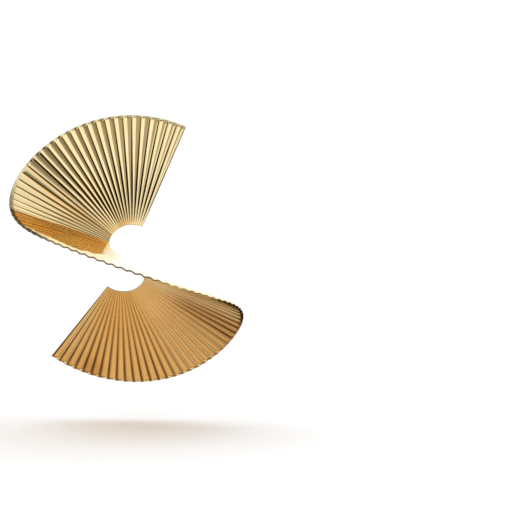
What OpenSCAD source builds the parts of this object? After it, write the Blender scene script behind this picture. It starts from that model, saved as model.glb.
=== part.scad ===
// Fan twist earring.
// One pleated disc of sheet brass, slit from its centre hole to its rim and
// folded twice into an S: an upper fan that faces the front, a left fold, a
// middle band that comes forward edge-on, a right fold, and a lower fan that
// shows its other face and leans back. A flat-pad ear post stands behind the
// upper fan.
//
// Frame: +Z up, the front of the earring looks along -Y, +X to the viewer's
// right. The origin is the centre of the pad's rear face, where the ear lobe
// meets it. All lengths are in mm and all angles in degrees.

/* [Pleated disc] */
// Number of pleats from one slit edge to the other
pleats = 91; // [84:1:91]
// Angle between neighbouring pleats at the centre of the disc (deg)
pleat_angle = 3.95; // [3.8:0.01:3.95]
// Radius of the centre hole
inner_r = 6.35; // [5.5:0.05:8]
// Radius of the outer rim
outer_r = 33.7; // [30:0.1:38]
// Thickness of the sheet
sheet_t = 0.4; // [0.3:0.05:0.5]

/* [Pleat depth, crest to groove] */
// Depth of the pleats at the centre hole
depth_inner = 0.1; // [0.05:0.05:0.2]
// Radius at which the pleats reach their middle depth
mid_r = 15; // [12:0.5:20]
// Depth of the pleats at that radius
depth_mid = 0.35; // [0.2:0.05:0.4]
// Depth of the pleats beside the rim's margin
depth_outer = 0.45; // [0.3:0.05:0.6]
// Width of the margin in which the pleats flatten towards the rim
margin = 0.5; // [0.3:0.1:1]
// Depth of the pleats at the rim itself
depth_rim = 0.3; // [0.1:0.05:0.4]

/* [Attitude of the upper fan] */
// Direction of the first slit edge above the horizontal, seen from the front (deg)
first_edge = 66.5; // [60:0.1:72]

/* [Left fold] */
// Pleat at which the left fold starts
left_from = 8; // [6:0.1:10]
// Number of pleats it spreads over
left_over = 28.8; // [26:0.1:32]
// How far it turns, to the front (deg)
left_turn = 94.3; // [88:0.1:100]

/* [Right fold] */
// Pleat at which the right fold starts
right_from = 51.8; // [48:0.1:54]
// Number of pleats it spreads over
right_over = 23.5; // [21:0.1:29]
// How far it turns, to the back (deg)
right_turn = 66.6; // [58:0.1:70]

/* [Drift of the disc's centre] */
// Pleat at which the centre starts to drift
drift_from = 8.9; // [4:0.1:12]
// Number of pleats the drift spreads over
drift_over = 68.6; // [64:0.1:80]
// Drift to the right
drift_x = -2.9; // [-4:0.1:-2]
// Drift to the back
drift_y = 6.4; // [5:0.1:7.5]
// Drift upwards
drift_z = -5; // [-6:0.1:-4]

/* [Ear post] */
// Pleat that the pad is centred on
post_pleat = 6.6; // [5:0.1:9]
// Distance of the pad from the centre of the disc
post_at = 22.5; // [18:0.5:26]
// Diameter of the flat pad
pad_d = 7; // [5:0.5:8]
// Thickness of the pad
pad_t = 0.6; // [0.5:0.1:1]
// Diameter of the post
post_d = 0.9; // [0.7:0.05:1.1]
// Length of the post behind the pad, tip included
post_l = 11; // [9:0.5:12]
// Thickness of the glue line between the pad and the pleats
glue_gap = 0.05; // [0.03:0.01:0.1]

/* [Hidden] */
$fn = 48;
gold = [0.86, 0.66, 0.32];

// Sections across the sheet, one row each: its radius and its pleat depth.
RADIUS = 0; DEPTH = 1;
sections = [
  //  radius           depth
  [ inner_r,          depth_inner ],
  [ mid_r,            depth_mid   ],
  [ outer_r - margin, depth_outer ],
  [ outer_r,          depth_rim   ],
];

// Folds, one row each: the pleat it starts at, the pleats it spreads over and
// its turn about the pleat lines, positive to the front.
START = 0; SPREAD = 1; TURN = 2;
folds = [
  //  start        spread       turn
  [ left_from,   left_over,    left_turn  ],
  [ right_from,  right_over,  -right_turn ],
];

per_pleat = 6;                    // columns of facets in one pleat
columns = pleats * per_pleat;
drift = [drift_x, drift_y, drift_z];

// 0 before u = 0, 1 after u = 1, and a soft S between.
function eased(u) = let (c = min(max(u, 0), 1)) c - sin(360 * c) / (2 * PI);

// v turned by ang about the unit vector axis.
function turned(v, axis, ang) =
  v * cos(ang) + cross(axis, v) * sin(ang) + axis * (axis * v) * (1 - cos(ang));

// How far all folds together have turned at pleat k.
function folded(k) = [for (f = folds) f[TURN] * eased((k - f[START]) / f[SPREAD])] * [for (f = folds) 1];

// Turn from column i to the next, as a vector: across the sheet to the next
// pleat, and about the pleat line by the folds.
function step(i, d, t) =
  cross(d, t) * pleat_angle / per_pleat
  + d * (folded((i + 1) / per_pleat) - folded(i / per_pleat));

// Directions at each column, walked from the first slit edge: out along the
// pleat line, and across it in the sheet. Their cross product faces the front
// on the upper fan.
OUT = 0; ACROSS = 1;
out_0 = [cos(first_edge), 0, sin(first_edge)];
across_0 = [-sin(first_edge), 0, cos(first_edge)];
frames = [
  for (i = 0, d = out_0, t = across_0;
       i <= columns;
       w = step(i, d, t), a = norm(w), d2 = turned(d, w / a, a), t2 = turned(t, w / a, a),
       d = d2, t = t2, i = i + 1)
  [d, t]
];

// The seat of the pad, measured from the disc's centre. The pad stands on the
// rear ridges, which are highest under its outer edge.
post_out = frames[round(post_pleat * per_pleat)][OUT];
facing = [0, -1, 0];
stack = lookup(post_at + pad_d / 2, sections) / 2 + sheet_t / 2 + glue_gap + pad_t;
centre_0 = -post_at * post_out + stack * facing
  - drift * eased((post_pleat - drift_from) / drift_over);

// Centre of the disc at pleat k.
function centre(k) = centre_0 + drift * eased((k - drift_from) / drift_over);

// Shape of a pleat across, 0 in the grooves and 1 on the crest. The front has
// broad rounded ribs between narrow grooves, which lie at whole pleats; the
// back of the sheet follows it, with narrow ridges behind the grooves.
function rib(k) = let (u = 2 * (k - floor(k)) - 1) sqrt(1 - u * u);

// A point of the sheet at column i and section s, on the front (+1) or the
// back (-1).
function sheet_point(i, s, side) =
  let (k = i / per_pleat, f = frames[i])
  centre(k) + sections[s][RADIUS] * f[OUT]
  + cross(f[OUT], f[ACROSS]) * (sections[s][DEPTH] * (rib(k) - 1 / 2) + side * sheet_t / 2);

// Round each column: out along the front, back along the rear.
rows = len(sections);
ring = 2 * rows;
sheet_points = [
  for (i = [0 : columns], j = [0 : ring - 1])
    j < rows ? sheet_point(i, j, 1) : sheet_point(i, ring - 1 - j, -1)
];
function corner(i, j) = i * ring + (j % ring);
sheet_faces = concat(
  [for (i = [0 : columns - 1], j = [0 : ring - 1], half = [0, 1])
    half == 0
      ? [corner(i, j), corner(i + 1, j + 1), corner(i, j + 1)]
      : [corner(i, j), corner(i + 1, j), corner(i + 1, j + 1)]],
  [for (s = [0 : rows - 2], half = [0, 1])
    half == 0
      ? [corner(0, s), corner(0, s + 1), corner(0, ring - 1 - s)]
      : [corner(0, s + 1), corner(0, ring - 2 - s), corner(0, ring - 1 - s)]],
  [for (s = [0 : rows - 2], half = [0, 1])
    half == 0
      ? [corner(columns, s), corner(columns, ring - 1 - s), corner(columns, s + 1)]
      : [corner(columns, s + 1), corner(columns, ring - 1 - s), corner(columns, ring - 2 - s)]]
);

// The pleated sheet, one piece from slit edge to slit edge.
module pleated_fan() {
  color(gold)
    polyhedron(points = sheet_points, faces = sheet_faces, convexity = 12);
}

// Flat pad and straight post with a bevelled tip, one piece. It stands square
// to the upper fan.
module ear_post() {
  tip = post_d / 3;
  color(gold)
    rotate([-90, 0, 0]) {
      translate([0, 0, -pad_t]) cylinder(d = pad_d, h = pad_t);
      cylinder(d = post_d, h = post_l - tip);
      translate([0, 0, post_l - tip]) cylinder(d1 = post_d, d2 = post_d / 2, h = tip);
    }
}

pleated_fan();
ear_post();
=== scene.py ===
import math

import bpy
import numpy as np
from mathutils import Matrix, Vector

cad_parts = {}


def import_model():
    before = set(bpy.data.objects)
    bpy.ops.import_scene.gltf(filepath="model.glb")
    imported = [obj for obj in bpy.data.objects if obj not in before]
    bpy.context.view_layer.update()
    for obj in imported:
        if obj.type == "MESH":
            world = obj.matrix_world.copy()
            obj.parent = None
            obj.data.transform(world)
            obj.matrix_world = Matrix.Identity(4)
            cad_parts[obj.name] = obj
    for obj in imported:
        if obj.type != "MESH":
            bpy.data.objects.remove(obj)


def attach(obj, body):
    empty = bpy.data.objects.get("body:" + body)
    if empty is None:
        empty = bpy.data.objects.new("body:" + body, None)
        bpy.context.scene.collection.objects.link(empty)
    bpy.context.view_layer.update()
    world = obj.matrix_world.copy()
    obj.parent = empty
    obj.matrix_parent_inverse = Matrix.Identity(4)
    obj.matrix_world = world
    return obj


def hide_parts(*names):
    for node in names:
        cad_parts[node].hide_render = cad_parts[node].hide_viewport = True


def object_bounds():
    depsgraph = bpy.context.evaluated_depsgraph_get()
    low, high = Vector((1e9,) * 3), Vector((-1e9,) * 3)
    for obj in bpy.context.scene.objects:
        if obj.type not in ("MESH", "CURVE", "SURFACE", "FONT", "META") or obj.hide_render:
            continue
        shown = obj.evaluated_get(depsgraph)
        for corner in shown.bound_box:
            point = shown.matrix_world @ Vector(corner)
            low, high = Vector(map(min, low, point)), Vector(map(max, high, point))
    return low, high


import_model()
cad_box = [list(v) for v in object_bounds()]

MM = 0.001

# ---------------------------------------------------------------------------
# The pleated sheet: the same rule as the CAD part, in mm and degrees
# ---------------------------------------------------------------------------
PLEATS, PLEAT_ANGLE = 91, 3.95
INNER_R, OUTER_R, SHEET_T = 6.35, 33.7, 0.4
SECTIONS = [(6.35, 0.1), (15.0, 0.35), (33.2, 0.45), (33.7, 0.3)]   # radius, pleat depth
FIRST_EDGE = 66.5
FOLDS = [(8.0, 28.8, 94.3), (51.8, 23.5, -66.6)]                # from pleat, over pleats, turn
DRIFT_FROM, DRIFT_OVER, DRIFT = 8.9, 68.6, np.array([-2.9, 6.4, -5.0])
POST_PLEAT, POST_AT, PAD_D, PAD_T, POST_D, POST_L, GLUE = 6.6, 22.5, 7.0, 0.6, 0.9, 11.0, 0.05
PER = 6                                                         # CAD columns in one pleat


def eased(u):
    u = min(max(u, 0.0), 1.0)
    return u - math.sin(2 * math.pi * u) / (2 * math.pi)


def turned(v, axis, a):
    return v * math.cos(a) + np.cross(axis, v) * math.sin(a) + axis * np.dot(axis, v) * (1 - math.cos(a))


def folded(k):
    return sum(turn * eased((k - start) / over) for start, over, turn in FOLDS)


def step(i, d, t):
    return np.radians(np.cross(d, t) * PLEAT_ANGLE / PER + d * (folded((i + 1) / PER) - folded(i / PER)))


def walk():
    d = np.array([math.cos(math.radians(FIRST_EDGE)), 0, math.sin(math.radians(FIRST_EDGE))])
    t = np.array([-math.sin(math.radians(FIRST_EDGE)), 0, math.cos(math.radians(FIRST_EDGE))])
    out = [(d, t)]
    for i in range(PLEATS * PER):
        w = step(i, d, t)
        a = np.linalg.norm(w)
        d, t = turned(d, w / a, a), turned(t, w / a, a)
        out.append((d, t))
    return out


FRAMES = walk()


def frame_at(k):
    """Directions out and across at pleat k, which may lie between two columns."""
    i = min(int(k * PER + 1e-9), PLEATS * PER - 1)
    d, t = FRAMES[i]
    f = k * PER - i
    if f < 1e-9:
        return d, t
    w = step(i, d, t)
    a = np.linalg.norm(w)
    return turned(d, w / a, a * f), turned(t, w / a, a * f)


def depth_at(r):
    return float(np.interp(r, [s[0] for s in SECTIONS], [s[1] for s in SECTIONS]))


STACK = depth_at(POST_AT + PAD_D / 2) / 2 + SHEET_T / 2 + GLUE + PAD_T
CENTRE_0 = (-POST_AT * FRAMES[round(POST_PLEAT * PER)][0] + STACK * np.array([0, -1.0, 0])
            - DRIFT * eased((POST_PLEAT - DRIFT_FROM) / DRIFT_OVER))


def centre(k):
    return CENTRE_0 + DRIFT * eased((k - DRIFT_FROM) / DRIFT_OVER)


# Pleat profile: broad rounded ribs between narrow grooves on the front, and
# narrow ridges behind the grooves. Columns crowd together at the grooves.
STEPS = 16                       # columns in one pleat
RIB_END = 33.0                   # where the ribs begin to dome down to the margin
DOME = 0.5                       # length of the dome, were it to reach the grooves' level
RIM_WAVE = ((0, 0.20), (22, 0.12), (33, 0.12), (37, 0.30), (47, 0.30), (54, 0.22), (91, 0.20))   # pleat, depth at the rim
RIM_R, HOLE_R = 0.12, 0.12       # radii of the tumbled edges
END_R = 0.084                    # pleats over which the slit edges are rounded


def smooth(a, b, v):
    t = min(max((v - a) / (b - a), 0.0), 1.0)
    return t * t * (3 - 2 * t)


def wave(r, u, side, k):
    """Height of the sheet's middle at u, -1 and 1 in the grooves and 0 on the crest."""
    rib = math.sqrt(max(1 - u * u, 0)) - 0.5
    if r <= RIB_END:
        return depth_at(r) * rib
    rim = float(np.interp(k, [q[0] for q in RIM_WAVE], [q[1] for q in RIM_WAVE]))
    soft = rim / 2 * math.cos(math.pi * u)                # even wave of the rim
    d = depth_at(RIB_END)
    if side < 0:
        f = smooth(RIB_END, OUTER_R - 0.1, r)
        return d * rib * (1 - f) + soft * f
    e = (r - RIB_END) / DOME
    dome = d * (math.sqrt(max(1 - u * u - e * e, 0)) - 0.5)
    f = smooth(RIB_END + 0.05, RIB_END + 0.35, r)
    return max(dome, -d / 2 * (1 - f) + soft * f)


def table(k, rows):
    """A value at pleat k from a table of (pleat, value) rows."""
    return float(np.interp(k, [q[0] for q in rows], [q[1] for q in rows]))


# Turn of the polish about the pleat lines in the left fold, degrees: the real sheet faces the
# front for longer than its even rule and then folds sharply. Near the hole, and near the rim.
BEND_NEAR = ((9, 0), (11, -3), (13, -6), (14, -9), (15, -12), (16, -15), (17, -18), (18, -20), (18.97, -20),
             (19.03, 17), (20.5, 14), (21.5, 7), (22.5, 0), (23.5, -8), (24.5, -15), (24.97, -19), (25.03, 16), (26, 12), (28, 8), (33, 0))
BEND_FAR = ((11, 0), (13, -4), (15, -5), (17, -6), (18, -8), (18.97, -12),
            (19.03, 14), (20.5, 14), (21.5, 7), (22.5, 0), (23.5, -8), (24.5, -15), (24.97, -19), (25.03, 16), (26, 12), (28, 9), (33, 0))
# Radius at which the inner face of the left fold flares out to its rim, by pleat
FLARE = ((29.5, 33.6), (30.5, 31.2), (31, 30.6), (33, 29.9), (35, 29.3), (36, 28.4), (37, 27.2), (38, 25.0), (38.5, 14.0), (38.8, 7.0), (39.2, 7.0), (39.6, 18.0), (41, 25.0))
FLARE_TURN = -55.0


def bend(k, r):
    at = k - (0.4 + 0.5 * smooth(12, 30, r)) * table(k, ((22.5, 0), (24.5, 1), (26.5, 1), (28.5, 0)))
    near, far = table(at, BEND_NEAR), table(at, BEND_FAR)
    b = far + (near - far) * (1 - smooth(16, 29, r))
    if 29.5 < k < 42:
        start = table(k, FLARE)
        f = smooth(start - 0.5, start + 0.7, r) * (1 - smooth(40.8, 42, k))
        b += (FLARE_TURN - b) * f
    return b


def flat(k, r):
    """How far the left fold presses the pleats flat, 0 not at all and 1 wholly."""
    near = table(k, ((24.5, 0), (25.5, 0.5), (28, 0.9), (47, 0.9), (52, 0)))
    far = table(k, ((24.5, 0), (26, 0.4), (28, 0.85), (47, 0.9), (52, 0)))
    lead = table(k - fold_edge(r), ((-1.5, 0), (0.5, 0.5), (3, 0.65), (5, 0.7))) * (1 - smooth(47, 52, k))
    return max(far + (near - far) * (1 - smooth(16, 29, r)), lead)


def fold_edge(r):
    """Pleat at which the ribs start to fade into the left fold."""
    return float(np.interp(r, [8, 12, 15, 19, 23, 27, 31], [14, 14.5, 16, 17.8, 19.3, 19.7, 20]))


def calm(k, r):
    """How far the polish evens out what is left of the ribs there."""
    return table(k - fold_edge(r), ((-1.8, 0), (-0.8, 0.3), (0.5, 0.5), (3, 0.45), (6, 0.2))) * (1 - smooth(48, 52, k))


def painted_front_shade(k, r, u):
    """Painted shade in the front's grooves: widest at mid radius, gone at the hole and in the left fold. Also a
    painted dark outline along the left fold's rim.
    """
    start = float(np.interp(r, [8, 11, 15, 23, 31], [0.42, 0.42, 0.44, 0.68, 0.80]))
    deep = float(np.interp(r, [7.0, 8.5, 12, 18, 25, 31, 33], [0.0, 0.6, 1.0, 1.0, 0.92, 0.75, 0.60]))
    fade = table(k - fold_edge(r), ((-0.8, 1.0), (0.7, 0.85), (2.5, 0.75), (4, 0.6), (5, 0.5), (7, 0)))
    sharp = table(k, ((14.5, 0), (16.5, 1), (18.6, 1), (19.8, 0))) * smooth(16, 22, r)   # where the fold sets in
    # painted shade widened where the grooves would mirror the fold's warm inside, to hide that reflection
    warm = table(k - fold_edge(r), ((-2.5, 0), (-1, 1), (2.5, 1), (4, 0)))    # where they would mirror the fold's inside
    start, deep, fade = start - max(0.12 * sharp, 0.10 * warm), max(deep, sharp), max(fade, 0.9 * sharp)
    groove = smooth(start, start + 0.20, abs(u)) * deep * fade * (1 - smooth(RIB_END, RIB_END + 0.45, r))
    # painted dark outline at the left fold's rim, the shade its rounded edge shows
    rim = 0.6 * smooth(32.7, 33.1, r) * table(k, ((21, 0), (24, 1), (33, 1), (35, 0)))
    return max(groove, rim)


def painted_back_shade(k, r, u):
    """Painted shade on the rear face: at its rim, most on the right fold, in a few of its grooves there, and at the
    last slit edge.
    """
    start = 32.9 - 0.9 * abs(u) ** 3
    fold = 1.0 * smooth(start, start + 0.3, r) * table(k, ((53, 0), (55, 1), (63, 1), (66, 0)))
    rim = 0.5 * smooth(32.9, 33.2, r) * smooth(0.4, 0.75, abs(u)) * smooth(54, 56, k)
    deep = 0.5 * smooth(0.6, 0.9, abs(u)) * table(k, ((63.2, 0), (64, 1), (67, 1), (67.8, 0))) * smooth(14, 22, r)
    return max(fold, rim, deep, 0.7 * smooth(90.7, 90.9, k))


def painted_ridge_lines(k, r, u):
    """Painted shade: dark umber lines on the rear ridges, stronger towards the rim."""
    by_k = table(k, ((50, 0.3), (56, 0.5), (62, 0.6), (63.5, 1.0), (67.4, 1.0), (68.5, 0.5), (70, 0.15), (73, 0.15), (76, 0.7), (78, 1.0), (91, 0.9)))
    by_r = float(np.interp(r, [9, 14, 22, 30], [0.2, 0.4, 0.7, 1.0]))
    wide = 0.2 * table(k, ((63.5, 0), (65, 1), (67.2, 1), (68, 0))) * smooth(14, 20, r)
    return smooth(0.68 - wide, 0.92 - wide, abs(u)) * by_k * by_r


def painted_warm_reflection(k, r):
    """Painted warm reflection of the gold in itself: the rear face browner along the right fold, and a reflection
    patch near the rim at pleats 84 to 91.
    """
    by_k = table(k, ((50, 0.1), (54, 0.3), (60, 0.32), (62, 0.22), (64, 0.35), (65.5, 0.42), (67, 0.40), (68, 0.28), (70, 0.22), (73, 0.15), (77, 0)))
    patch = 0.4 * table(k, ((84.3, 0), (85.3, 1), (86.8, 1), (87.6, 0.3), (89.5, 0.5), (91, 0.2))) * smooth(25, 31, r)
    return max(by_k * smooth(10, 21, r), patch)


def columns():
    """(pleat, u, pinch): pinch thins the sheet towards its two slit edges."""
    out = []
    for p in range(PLEATS):
        for j in range(STEPS + (1 if p == PLEATS - 1 else 0)):
            u = -math.cos(math.pi * j / STEPS)
            k = p + (u + 1) / 2
            x = max(1 - min(k, PLEATS - k) / END_R, 0.0)
            out.append((p, u, 1 - math.sqrt(max(1 - x * x, 0.0))))
    return out


def section_ring():
    """Round the sheet's cut section: (radius, offset, how far on the cut edge, side)."""
    half = SHEET_T / 2
    rows = [7.0, 8.0, 9.6, 12.0, 15.0, 19.0, 23.0, 27.0, 30.5, 32.5, 33.0]
    front = rows + [33.09, 33.17, 33.24, 33.29, 33.33, 33.37, 33.45]
    back = rows + [33.15, 33.3, 33.45]
    arc = 4
    out_r, in_r = OUTER_R - 0.01, INNER_R
    ring = [(r, half, 0.0, 1) for r in front]
    for j in range(arc + 1):
        a = math.pi / 2 * j / arc
        ring.append((out_r - RIM_R + RIM_R * math.sin(a), half - RIM_R + RIM_R * math.cos(a), math.sin(a), 1))
    for j in range(arc + 1):
        a = math.pi / 2 * j / arc
        ring.append((out_r - RIM_R + RIM_R * math.cos(a), -(half - RIM_R) - RIM_R * math.sin(a), math.cos(a), -1))
    ring += [(r, -half, 0.0, -1) for r in reversed(back)]
    for j in range(arc + 1):
        a = math.pi / 2 * j / arc
        ring.append((in_r + HOLE_R - HOLE_R * math.sin(a), -half + HOLE_R - HOLE_R * math.cos(a), math.sin(a), -1))
    for j in range(arc + 1):
        a = math.pi / 2 * j / arc
        ring.append((in_r + HOLE_R - HOLE_R * math.cos(a), half - HOLE_R + HOLE_R * math.sin(a), math.cos(a), 1))
    return ring


def build_fan():
    ring = section_ring()
    n = len(ring)
    cols = columns()
    verts, root, ridge, brown, cut, uv, axis, turn, plain, ironed = [], [], [], [], [], [], [], [], [], []
    heights = {}
    for p, u, pinch in cols:
        k = p + (u + 1) / 2
        d, t = frame_at(k)
        nrm = np.cross(d, t)
        c = centre(k)
        key = (round(u, 6), round(k))
        if key not in heights:
            heights[key] = [wave(r, u, side, key[1]) for r, off, edge, side in ring]
        for (r, off, edge, side), h in zip(ring, heights[key]):
            if 12 < k < 52:
                f, g = flat(k, r), smooth(30.5, OUTER_R - 0.1, r)
                soft = math.cos(math.pi * u) / 2 * (table(k, RIM_WAVE) * g + 0.1 * depth_at(r) * (1 - g))
                h += (soft - h) * f
            v = c + r * d + nrm * (h + off * (1 - 0.5 * pinch))
            verts.append(tuple(v * MM))
            run = 1 - smooth(RIB_END, RIB_END + 0.5, r)
            # first mask: painted shade in the front's grooves and rim, and on the rear face's rim and grooves
            root.append((painted_front_shade(k, r, u) if k < 35 else 0.0) if side > 0 else (painted_back_shade(k, r, u) if k > 50 else 0.0))
            # painted shade lines on the rear ridges
            ridge.append(painted_ridge_lines(k, r, u) * run if side < 0 else 0.0)
            # painted warm reflection on the rear face
            brown.append(painted_warm_reflection(k, r) if side < 0 and k > 50 else 0.0)
            # cut edges: rougher unpolished metal, whose dark tint also paints the shade their rounding shows
            cut.append(max(edge * table(k, ((45, 1), (48, 0.55), (54, 0.55), (56, 1))), pinch))
            uv.append((k, r))
            b = math.radians(bend(k, r)) if side > 0 and 9 < k < 42 else 0.0
            axis.append(tuple(d))
            turn.append(b)
            plain.append(tuple(turned(nrm, d, b)))
            ironed.append(calm(k, r) * (1 - edge) if side > 0 and 13 < k < 52 else 0.0)
    faces = []
    m = len(cols)
    for i in range(m - 1):
        for j in range(n):
            a, b = i * n + j, i * n + (j + 1) % n
            faces.append((a, b, b + n, a + n))
    faces.append(tuple(reversed(range(n))))
    faces.append(tuple(range((m - 1) * n, m * n)))
    me = bpy.data.meshes.new("pleated_fan_sheet")
    me.from_pydata(verts, [], faces)
    flags = [True] * len(me.polygons)
    flags[-2:] = [False, False]
    me.polygons.foreach_set("use_smooth", flags)
    for name, data in (("cut", cut), ("root", root), ("ridge", ridge), ("brown", brown), ("turn", turn), ("ironed", ironed)):
        at = me.attributes.new(name, "FLOAT", "POINT")
        at.data.foreach_set("value", data)
    for name, data in (("axis", axis), ("plain", plain)):
        at = me.attributes.new(name, "FLOAT_VECTOR", "POINT")
        at.data.foreach_set("vector", np.array(data, dtype=np.float32).ravel())
    layer = me.uv_layers.new(name="sheet")
    loop_v = np.empty(len(me.loops), dtype=np.int32)
    me.loops.foreach_get("vertex_index", loop_v)
    arr = np.array(uv, dtype=np.float32)
    # u counts pleats and v is the radius, so lines drawn along v follow the pleats
    co = np.stack([arr[loop_v, 0] / PLEATS, arr[loop_v, 1] / OUTER_R], axis=1).ravel()
    layer.data.foreach_set("uv", co)
    me.validate()
    me.update()
    ob = bpy.data.objects.new("fan_sheet", me)
    bpy.context.scene.collection.objects.link(ob)
    return ob


def lathe(name, profile, seg=64, smooth_angle=35):
    """Turn a (radius, y) profile in mm about the Y axis."""
    verts, faces = [], []
    for j, (r, y) in enumerate(profile):
        if r < 1e-6:
            verts.append((0, y * MM, 0))
        else:
            verts += [(r * math.cos(2 * math.pi * s / seg) * MM, y * MM, r * math.sin(2 * math.pi * s / seg) * MM)
                      for s in range(seg)]
    idx, start = [], 0
    for r, y in profile:
        if r < 1e-6:
            idx.append([start] * seg)
            start += 1
        else:
            idx.append(list(range(start, start + seg)))
            start += seg
    for a, b in zip(idx, idx[1:]):
        for s in range(seg):
            q = [a[s], a[(s + 1) % seg], b[(s + 1) % seg], b[s]]
            q = [v for i, v in enumerate(q) if v not in q[:i]]
            if len(q) > 2:
                faces.append(q)
    me = bpy.data.meshes.new(name)
    me.from_pydata(verts, [], faces)
    me.polygons.foreach_set("use_smooth", [True] * len(me.polygons))
    me.validate()
    me.update()
    import bmesh
    bm = bmesh.new()
    bm.from_mesh(me)
    bmesh.ops.recalc_face_normals(bm, faces=bm.faces)
    bm.to_mesh(me)
    bm.free()
    ob = bpy.data.objects.new(name, me)
    bpy.context.scene.collection.objects.link(ob)
    return ob


def build_post():
    """Pad, post and bevelled tip, with the small radii of a stamped pad and a turned wire end."""
    def arc(cx, cy, r, a0, a1, n):
        return [(cx + r * math.cos(math.radians(a0 + (a1 - a0) * i / n)),
                 cy + r * math.sin(math.radians(a0 + (a1 - a0) * i / n))) for i in range(n + 1)]
    R, q = PAD_D / 2, POST_D / 2
    e, f, tip = 0.14, 0.22, POST_D / 3
    prof = [(0, -PAD_T), (1.2, -PAD_T), (2.4, -PAD_T)]
    prof += arc(R - e, -PAD_T + e, e, -90, 0, 5)
    prof += arc(R - e, -e, e, 0, 90, 5)
    prof += [(2.4, 0), (1.2, 0)]
    prof += [(q + f - f * math.sin(math.radians(a)), f - f * math.cos(math.radians(a))) for a in (0, 18, 36, 54, 72, 90)]
    prof += [(q, y) for y in (2.0, 4.5, 7.0, 9.0, POST_L - tip - 0.12)]
    prof += [(q - 0.012, POST_L - tip), (q / 2 + 0.1, POST_L - 0.12), (q / 2 + 0.04, POST_L - 0.05), (q / 2 - 0.04, POST_L - 0.005), (0.1, POST_L), (0, POST_L)]
    return lathe("post_and_pad", prof)


# ---------------------------------------------------------------------------
# Node helpers
# ---------------------------------------------------------------------------
class Net:
    def __init__(self, tree):
        self.t = tree
        tree.nodes.clear()

    def new(self, kind, **inputs):
        n = self.t.nodes.new(kind)
        for key, v in inputs.items():
            if key.startswith("_"):
                setattr(n, key[1:], v)
        for key, v in inputs.items():
            if not key.startswith("_"):
                self.put(n.inputs[int(key[1:])] if key[0] == "i" and key[1:].isdigit() else n.inputs[key.replace("__", " ")], v)
        return n

    def put(self, socket, v):
        if isinstance(v, bpy.types.NodeSocket):
            self.t.links.new(v, socket)
        elif isinstance(v, bpy.types.Node):
            self.t.links.new(v.outputs[0], socket)
        else:
            socket.default_value = v

    def math(self, op, a, b=0.0, c=0.0, clamp=False):
        n = self.new("ShaderNodeMath", _operation=op, _use_clamp=clamp, i0=a, i1=b)
        if op in ("MULTIPLY_ADD", "SMOOTH_MIN", "SMOOTH_MAX", "WRAP", "COMPARE"):
            self.put(n.inputs[2], c)
        return n.outputs[0]

    def ramp(self, v, a, b, lo=0.0, hi=1.0, smooth=True):
        n = self.new("ShaderNodeMapRange", _interpolation_type="SMOOTHSTEP" if smooth else "LINEAR", i0=v, i1=a, i2=b, i3=lo, i4=hi)
        return n.outputs[0]

    def mix(self, fac, a, b, mode="MIX"):
        n = self.new("ShaderNodeMix", _data_type="RGBA", _blend_type=mode)
        self.put(n.inputs[0], fac)
        self.put(n.inputs[6], a)
        self.put(n.inputs[7], b)
        return n.outputs[2]


def srgb(r, g, b):
    def lin(c):
        c /= 255
        return c / 12.92 if c <= 0.04045 else ((c + 0.055) / 1.055) ** 2.4
    return (lin(r), lin(g), lin(b), 1.0)


# ---------------------------------------------------------------------------
# Materials
# ---------------------------------------------------------------------------
GOLD = (0.93, 0.735, 0.385, 1.0)


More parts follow.
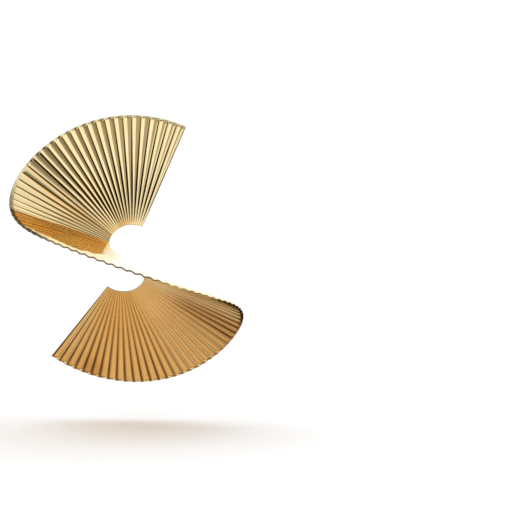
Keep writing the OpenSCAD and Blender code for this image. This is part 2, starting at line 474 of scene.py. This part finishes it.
def gold_sheet():
    mat = bpy.data.materials.new("gold_sheet")
    mat.use_nodes = True
    n = Net(mat.node_tree)
    out = n.new("ShaderNodeOutputMaterial")
    bsdf = n.new("ShaderNodeBsdfPrincipled")
    bsdf.inputs["Metallic"].default_value = 1.0
    uv = n.new("ShaderNodeUVMap", _uv_map="sheet").outputs[0]
    obj = n.new("ShaderNodeTexCoord").outputs["Object"]
    cut = n.new("ShaderNodeAttribute", _attribute_name="cut").outputs["Fac"]
    root = n.new("ShaderNodeAttribute", _attribute_name="root").outputs["Fac"]
    ridge = n.new("ShaderNodeAttribute", _attribute_name="ridge").outputs["Fac"]
    brown = n.new("ShaderNodeAttribute", _attribute_name="brown").outputs["Fac"]
    # fine lines left by the press and the polishing mop, along the pleats
    st = n.new("ShaderNodeMapping", Vector=uv, Scale=(1400.0, 5.0, 1.0))
    lines = n.new("ShaderNodeTexNoise", Vector=st, Scale=1.0, Detail=2.0, Roughness=0.5).outputs[0]
    # cloudy wear of the polish
    cloud = n.new("ShaderNodeTexNoise", Vector=obj, Scale=260.0, Detail=4.0, Roughness=0.55).outputs[0]
    tint = n.mix(n.ramp(cloud, 0.35, 0.7), (0.95, 0.78, 0.44, 1.0), (0.93, 0.75, 0.40, 1.0))
    # painted shade: near-black in the grooves and along the rims
    tint = n.mix(root, tint, (0.06, 0.025, 0.006, 1.0))
    # painted warm reflection: gold mirrored in gold along the right fold, and a patch near the rim
    tint = n.mix(brown, tint, (0.50, 0.27, 0.08, 1.0))
    # painted shade lines along the rear ridges
    tint = n.mix(ridge, tint, (0.25, 0.11, 0.027, 1.0))
    # dark cut edges: unpolished metal, and painted shade of their rounding
    tint = n.mix(n.math("MULTIPLY", n.ramp(cut, 0.4, 0.9), 0.85), tint, (0.12, 0.10, 0.07, 1.0))
    n.put(bsdf.inputs["Base Color"], tint)
    # the painted shade dulls the glancing sheen too, so it stays dark at a glancing view
    n.put(bsdf.inputs["Specular Tint"], n.mix(root, (1.0, 1.0, 1.0, 1.0), (0.12, 0.08, 0.05, 1.0)))
    rough = n.math("ADD", n.ramp(cloud, 0.3, 0.75, 0.055, 0.10), n.math("MULTIPLY", lines, 0.03))
    rough = n.math("ADD", rough, n.math("MULTIPLY", cut, 0.14))
    rough = n.math("ADD", rough, n.math("MULTIPLY", root, 0.10))
    n.put(bsdf.inputs["Roughness"], rough)
    bump = n.new("ShaderNodeBump", Strength=0.06, Distance=0.00003, Height=lines)
    axis = n.new("ShaderNodeAttribute", _attribute_name="axis").outputs["Vector"]
    turn = n.new("ShaderNodeAttribute", _attribute_name="turn").outputs["Fac"]
    plain = n.new("ShaderNodeAttribute", _attribute_name="plain").outputs["Vector"]
    ironed = n.new("ShaderNodeAttribute", _attribute_name="ironed").outputs["Fac"]
    bent = n.new("ShaderNodeVectorRotate", _rotation_type="AXIS_ANGLE", Vector=bump, Axis=axis, Angle=turn)
    calm_n = n.new("ShaderNodeMix", _data_type="VECTOR", i0=ironed, i4=bent, i5=plain)
    n.put(bsdf.inputs["Normal"], n.new("ShaderNodeVectorMath", _operation="NORMALIZE", i0=calm_n.outputs[1]))
    n.put(out.inputs["Surface"], bsdf)
    return mat


def gold_post():
    mat = bpy.data.materials.new("gold_post")
    mat.use_nodes = True
    n = Net(mat.node_tree)
    out = n.new("ShaderNodeOutputMaterial")
    bsdf = n.new("ShaderNodeBsdfPrincipled")
    bsdf.inputs["Metallic"].default_value = 1.0
    obj = n.new("ShaderNodeTexCoord").outputs["Object"]
    rings = n.new("ShaderNodeMapping", Vector=obj, Scale=(400.0, 9000.0, 400.0))
    drawn = n.new("ShaderNodeTexNoise", Vector=rings, Scale=1.0, Detail=2.0).outputs[0]
    cloud = n.new("ShaderNodeTexNoise", Vector=obj, Scale=420.0, Detail=4.0, Roughness=0.6).outputs[0]
    tint = n.mix(n.ramp(cloud, 0.35, 0.7), (0.95, 0.755, 0.40, 1.0), (0.90, 0.69, 0.34, 1.0))
    n.put(bsdf.inputs["Base Color"], tint)
    n.put(bsdf.inputs["Roughness"], n.math("ADD", n.ramp(cloud, 0.3, 0.75, 0.16, 0.26), n.math("MULTIPLY", drawn, 0.05)))
    bump = n.new("ShaderNodeBump", Strength=0.12, Distance=0.00005, Height=drawn)
    n.put(bsdf.inputs["Normal"], bump)
    n.put(out.inputs["Surface"], bsdf)
    return mat


def floor_material():
    mat = bpy.data.materials.new("pale_floor")
    mat.use_nodes = True
    n = Net(mat.node_tree)
    out = n.new("ShaderNodeOutputMaterial")
    bsdf = n.new("ShaderNodeBsdfPrincipled")
    bsdf.inputs["Base Color"].default_value = (0.93, 0.93, 0.925, 1.0)
    bsdf.inputs["Roughness"].default_value = 0.9
    bsdf.inputs["Specular IOR Level"].default_value = 0.0
    n.put(out.inputs["Surface"], bsdf)
    return mat


# ---------------------------------------------------------------------------
# Studio: white to the camera and to matt surfaces; to polished metal it is a
# room of soft boxes, given by direction. Azimuth 0 is the front, positive to
# the right; elevation is above the horizon; both in degrees.
# ---------------------------------------------------------------------------
WHITE, CREAM, TAN = (1.0, 1.02, 1.08), (1.0, 0.97, 0.90), (1.0, 0.69, 0.41)
BOXES = [
    # az0,  az1,  el0, el1, soft, strength, colour
    (-180, 180, -90, 90, 1, 0.03, (1.0, 0.9, 0.75)),         # the dark of the room
    (-110, 110, -90, -22, 6, 0.42, TAN),                     # floor in front
    (-80, 8, -80, -40, 7, 0.80, TAN),                        # lit part of it
    (8, 75, -80, -28, 8, 0.56, TAN),                         # half-lit part
    (15, 125, 46, 90, 5, 0.90, WHITE),                       # ceiling on the right
    (72, 150, 24, 90, 5, 0.90, WHITE),                       # and down its far side
    (-84, 1, -26, 42, 4, 1.12, WHITE),                       # large box, front left
    (-84, 1, 14, 42, 5, 0.90, WHITE),                        # its upper part
    (1, 84, 1, 44, 4, 0.30, CREAM),                          # wall on the right
    (1, 84, 1, 16, 3, 0.36, CREAM),
    (1, 84, 1, 9, 2, 0.52, CREAM),
    (-3, 64, -22, -1, 3, 1.00, WHITE),                       # low box, front right
]


def world():
    w = bpy.data.worlds.new("studio")
    bpy.context.scene.world = w
    w.use_nodes = True
    n = Net(w.node_tree)
    out = n.new("ShaderNodeOutputWorld")
    d = n.new("ShaderNodeTexCoord").outputs["Generated"]
    s = n.new("ShaderNodeSeparateXYZ", i0=d)
    x, y, z = s.outputs[0], s.outputs[1], s.outputs[2]
    az = n.math("MULTIPLY", n.math("ARCTAN2", x, n.math("MULTIPLY", y, -1.0)), 180 / math.pi)
    el = n.math("MULTIPLY", n.math("ARCSINE", z), 180 / math.pi)
    total = None
    for az0, az1, el0, el1, soft, power, col in BOXES:
        c = tuple(v * power for v in col) + (1.0,)
        if az0 <= -180 and az1 >= 180 and el0 <= -90 and el1 >= 90:
            total = n.new("ShaderNodeRGB").outputs[0]
            total.default_value = c
            continue
        m = None
        for v, a, b in ((az, az0, az1), (el, el0, el1)):
            if not (v is az and a <= -180 and b >= 180):
                for e in ((n.ramp(v, a - soft, a + soft) if a > -90 or v is az else None),
                          (n.ramp(v, b - soft, b + soft, 1.0, 0.0) if b < 90 or v is az else None)):
                    if e is not None:
                        m = e if m is None else n.math("MULTIPLY", m, e)
        total = n.mix(m, total, c)
    # backdrop: everything behind the object is white, the floor there a little less
    back = n.ramp(y, 0.0, 0.35)
    total = n.mix(back, total, n.mix(n.ramp(z, -0.35, -0.05), (0.72, 0.70, 0.66, 1.0), (1.12, 1.14, 1.18, 1.0)))
    lp = n.new("ShaderNodeLightPath")
    # gold seen in gold: light that has met the metal twice is warm and even
    total = n.mix(n.ramp(lp.outputs["Ray Depth"], 2.4, 2.6), total, (0.98, 0.73, 0.45, 1.0))
    seen = n.math("MAXIMUM", lp.outputs["Is Camera Ray"], lp.outputs["Is Diffuse Ray"])
    white = n.mix(lp.outputs["Is Camera Ray"], (1.16, 1.16, 1.16, 1.0), (1.05, 1.05, 1.05, 1.0))
    bg = n.new("ShaderNodeBackground", Color=n.mix(seen, total, white), Strength=1.0)
    n.put(out.inputs["Surface"], bg)


# ---------------------------------------------------------------------------
# Camera: the photograph's view. One photograph pixel is 0.25 mm at the fan.
# ---------------------------------------------------------------------------
PX = 0.25
ORIGIN = CENTRE_0 - np.array([1.95, 0, 2.5])                    # the point that the view is built on


def camera():
    cam = bpy.data.cameras.new("camera")
    ob = bpy.data.objects.new("camera", cam)
    bpy.context.scene.collection.objects.link(ob)
    bpy.context.scene.camera = ob
    back = 1500.0
    at = ORIGIN + PX * np.array([2.0, -back, 12.0])
    aim = Vector((130.0, back, -8.0))
    ob.location = Vector(at * MM)
    ob.rotation_mode = "QUATERNION"
    ob.rotation_quaternion = aim.to_track_quat("-Z", "Y")
    cam.sensor_width = 36.0
    cam.lens = 18.0 * back * math.cos(math.atan2(130.0, back)) / 256.0
    cam.clip_start, cam.clip_end = 0.01, 20.0
    return ob


def floor():
    z = cad_box[0][2] - 0.010
    me = bpy.data.meshes.new("floor")
    s = 6.0
    me.from_pydata([(-s, -s, z), (s, -s, z), (s, s, z), (-s, s, z)], [], [(0, 1, 2, 3)])
    ob = bpy.data.objects.new("floor", me)
    bpy.context.scene.collection.objects.link(ob)
    me.materials.append(floor_material())
    ob.visible_glossy = False
    return ob


# ---------------------------------------------------------------------------
fan = build_fan()
fan.data.materials.append(gold_sheet())
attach(fan, "root")
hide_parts("pleated_fan")

post = build_post()
post.data.materials.append(gold_post())
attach(post, "root")
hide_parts("ear_post")

camera()
floor()
world()

vs = bpy.context.scene.view_settings
vs.view_transform = "Standard"
vs.look = "None"
vs.exposure = 0.0
vs.gamma = 0.9
